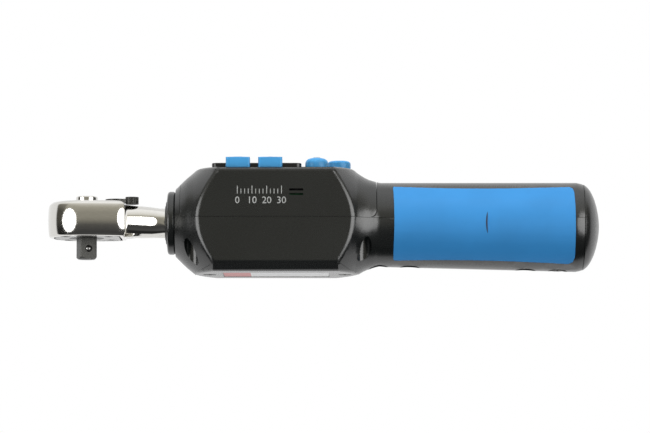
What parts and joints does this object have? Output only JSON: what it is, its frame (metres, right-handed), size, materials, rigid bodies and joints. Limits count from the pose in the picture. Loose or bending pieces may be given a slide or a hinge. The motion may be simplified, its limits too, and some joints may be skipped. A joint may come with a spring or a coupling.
{
  "type": "torque wrench",
  "caption": "Electronic torque wrench with a reversible ratchet head, square drive with push-button release, display and keys on the case, and a round grip with soft pads.",
  "frame": {"origin": "drive axis at the shoulder plane of the male square, which is the ratchet head's bottom face", "axes": "+X runs from the head along the wrench to the grip's end, +Z through the display side, and the square points along -Z"},
  "size_m": [0.2046, 0.041, 0.0431],
  "materials": {
    "chrome": "bright chrome plating",
    "steel": "blackened steel",
    "bright_steel": "ground steel",
    "zinc_steel": "zinc-plated steel",
    "black_plastic": "fine satin texture",
    "bezel_plastic": "polished black",
    "inner_plastic": "plain moulding",
    "blue_rubber": "smooth soft elastomer",
    "blue_plastic": "satin blue moulding",
    "boot_rubber": "black elastomer",
    "seal_rubber": "black elastomer",
    "clear_lens": "clear plate",
    "lcd": "grey-green liquid crystal",
    "board": "green solder mask",
    "gauge": "amber foil carrier",
    "red_wire": "wire insulation",
    "beam_steel": "machined alloy steel",
    "label": "plain film with a red end band",
    "cell": "sleeved dry cells",
    "contact": "nickel-plated spring contacts",
    "thread_metal": "turned brass"
  },
  "bodies": {
    "housing": {"ratchet_head": "chrome", "head_cover_plate": "bright_steel", "cover_screws": "steel", "detent_ball": "bright_steel", "detent_spring": "zinc_steel", "neck_boot": "boot_rubber", "front_collar": "black_plastic", "torque_beam": "beam_steel", "neck_pin": "bright_steel", "strain_gauges": "gauge", "gauge_leads": "red_wire", "lower_housing": "black_plastic", "display_cover": "black_plastic", "bottom_plate": "black_plastic", "bottom_label": "label", "housing_screws": "steel", "bottom_plate_screws": "steel", "display_bezel": "bezel_plastic", "display_lens": "clear_lens", "lcd_module": "lcd", "circuit_board": "board", "board_screws": "zinc_steel", "key_switches": "inner_plastic", "buzzer": "inner_plastic", "grip_top_shell": "black_plastic", "left_grip_pad": "blue_rubber", "right_grip_pad": "blue_rubber", "grip_screws": "steel", "battery_tray": "inner_plastic", "battery_cells": "cell", "front_contacts": "contact", "battery_leads": "red_wire", "thread_collar": "thread_metal"},
    "drive": {"drive_gear": "steel", "release_spring": "zinc_steel"},
    "ball": {"drive_ball": "bright_steel"},
    "button": {"release_button": "chrome"},
    "lever": {"reverse_lever": "steel"},
    "pawl": {"pawl": "steel"},
    "mode_key": {"mode_key": "blue_plastic"},
    "unit_key": {"unit_key": "blue_plastic"},
    "power_key": {"power_key": "blue_plastic"},
    "light_key": {"light_key": "blue_plastic"},
    "cap_carrier": {"cap_contact": "contact"},
    "end_cap": {"end_cap": "black_plastic", "cap_seal": "seal_rubber"}
  },
  "joints": [
    {"name": "drive_spin", "type": "hinge", "parent": "housing", "child": "drive", "pos_m": [0, 0, 0], "axis": [0, 0, 1], "continuous": true},
    {"name": "release_press", "type": "slide", "parent": "drive", "child": "button", "axis": [0, 0, -1], "range_m": [0, 0.0015], "stiffness_N_per_m": 600, "springref_m": -0.001, "deforming": ["release_spring"]},
    {"name": "ball_retract", "type": "slide", "parent": "drive", "child": "ball", "axis": [-0.309, 0.9511, 0], "range_m": [0, 0.0005]},
    {"name": "lever_swing", "type": "hinge", "parent": "housing", "child": "lever", "pos_m": [0.011, 0, 0.0133], "axis": [0, 0, 1], "range_deg": [0, 52]},
    {"name": "pawl_shift", "type": "hinge", "parent": "housing", "child": "pawl", "pos_m": [0, 0, 0.0055], "axis": [0, 0, 1], "range_deg": [-10.4, 0]},
    {"name": "mode_key_press", "type": "slide", "parent": "housing", "child": "mode_key", "axis": [0, 0, -1], "range_m": [0, 0.0006], "stiffness_N_per_m": 500, "springref_m": -0.0005},
    {"name": "unit_key_press", "type": "slide", "parent": "housing", "child": "unit_key", "axis": [0, 0, -1], "range_m": [0, 0.0006], "stiffness_N_per_m": 500, "springref_m": -0.0005},
    {"name": "power_key_press", "type": "slide", "parent": "housing", "child": "power_key", "axis": [0, 0, -1], "range_m": [0, 0.0006], "stiffness_N_per_m": 500, "springref_m": -0.0005},
    {"name": "light_key_press", "type": "slide", "parent": "housing", "child": "light_key", "axis": [0, 0, -1], "range_m": [0, 0.0006], "stiffness_N_per_m": 500, "springref_m": -0.0005},
    {"name": "cap_travel", "type": "slide", "parent": "housing", "child": "cap_carrier", "axis": [0.9999, 0, -0.0127], "range_m": [0, 0.006]},
    {"name": "cap_turn", "type": "hinge", "parent": "cap_carrier", "child": "end_cap", "pos_m": [0.17409, 0, 0.00419], "axis": [0.9999, 0, -0.0127], "range_deg": [0, 1080]}
  ],
  "couplings": [
    {"joint": "ball_retract", "follows": "release_press", "ratio": 0.3333},
    {"joint": "pawl_shift", "follows": "lever_swing", "ratio": -0.197},
    {"joint": "cap_travel", "follows": "cap_turn", "m_per_rad": 0.0003183}
  ]
}
